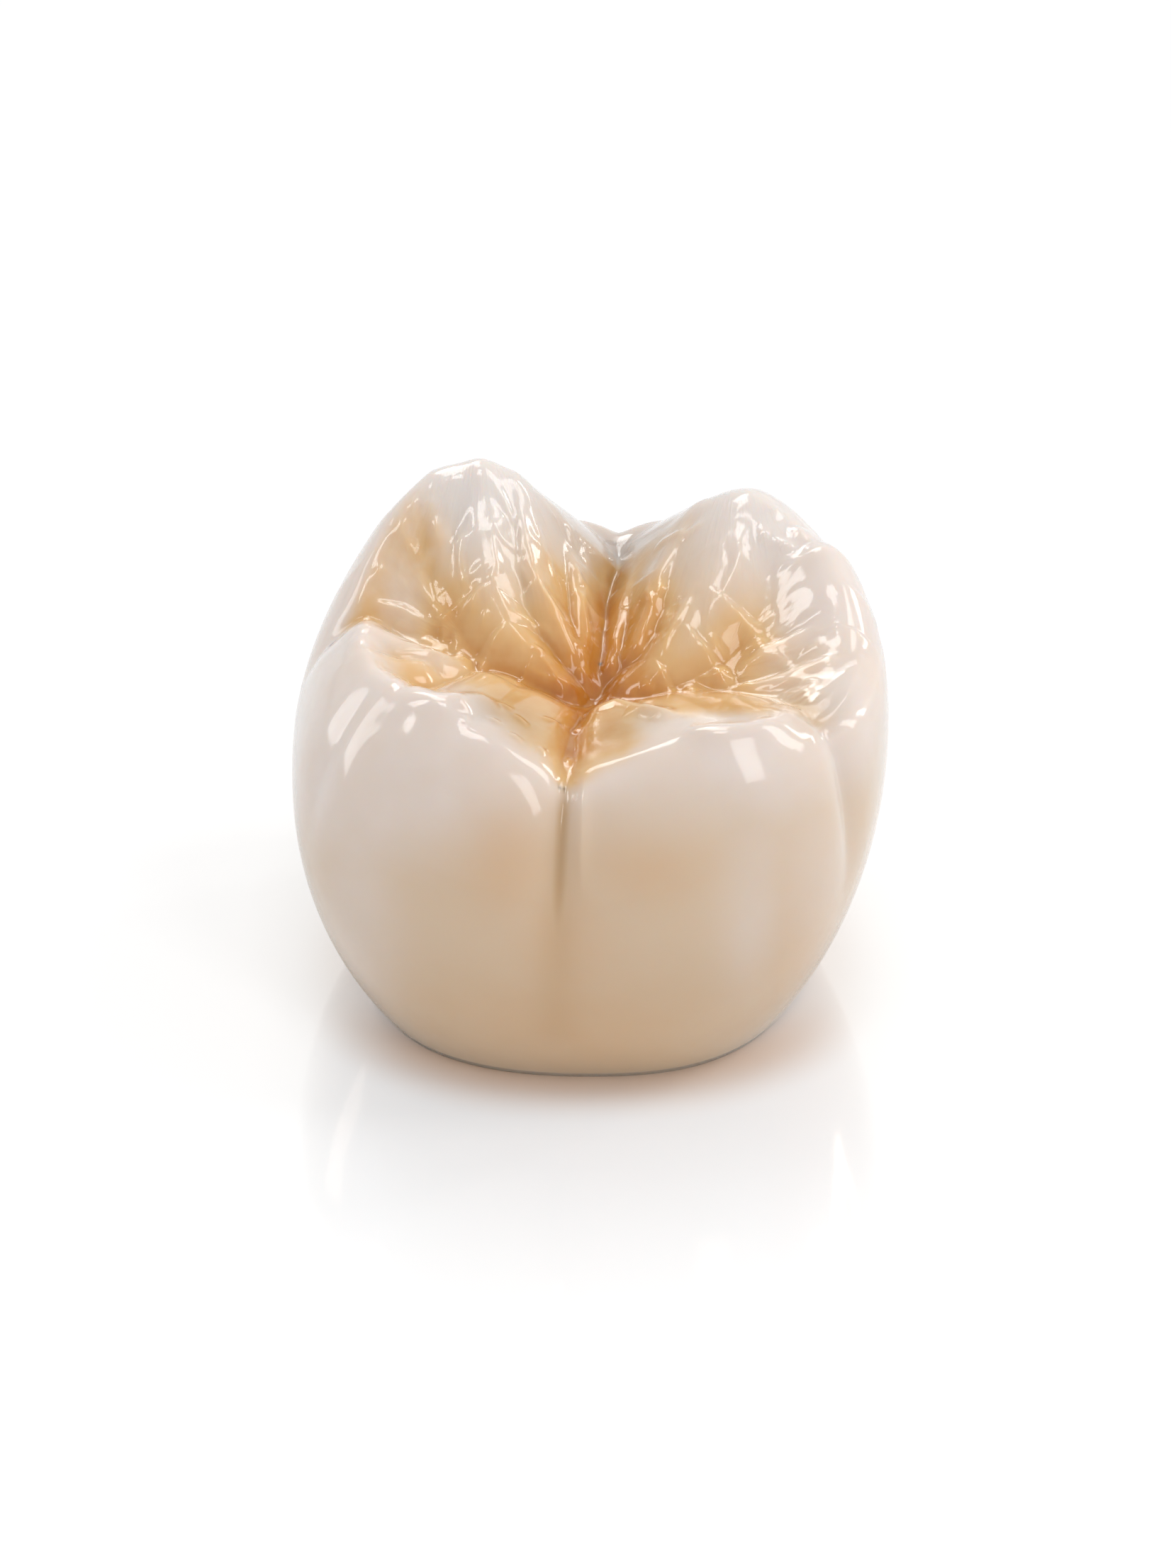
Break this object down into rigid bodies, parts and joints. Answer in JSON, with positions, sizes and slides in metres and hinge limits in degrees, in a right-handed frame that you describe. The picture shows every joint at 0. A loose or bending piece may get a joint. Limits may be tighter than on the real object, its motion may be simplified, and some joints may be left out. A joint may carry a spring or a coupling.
{
  "type": "ceramic dental crown",
  "caption": "Hollow ceramic crown for a lower first molar, with cusps and stained grooves on its biting surface, made to be cemented over a prepared tooth stump.",
  "frame": {"origin": "centre of the margin plane, which the crown stands on", "axes": "+Z towards the biting surface, -X mesial (front of the jaw), +X distal, -Y towards the cheek, +Y towards the tongue"},
  "size_m": [0.011, 0.0102, 0.009],
  "materials": {
    "porcelain": "glazed tooth-coloured ceramic, grey-white on the cusps, warm beige below, amber stain in the grooves"
  },
  "bodies": {
    "root": {"crown": "porcelain"}
  },
  "joints": []
}
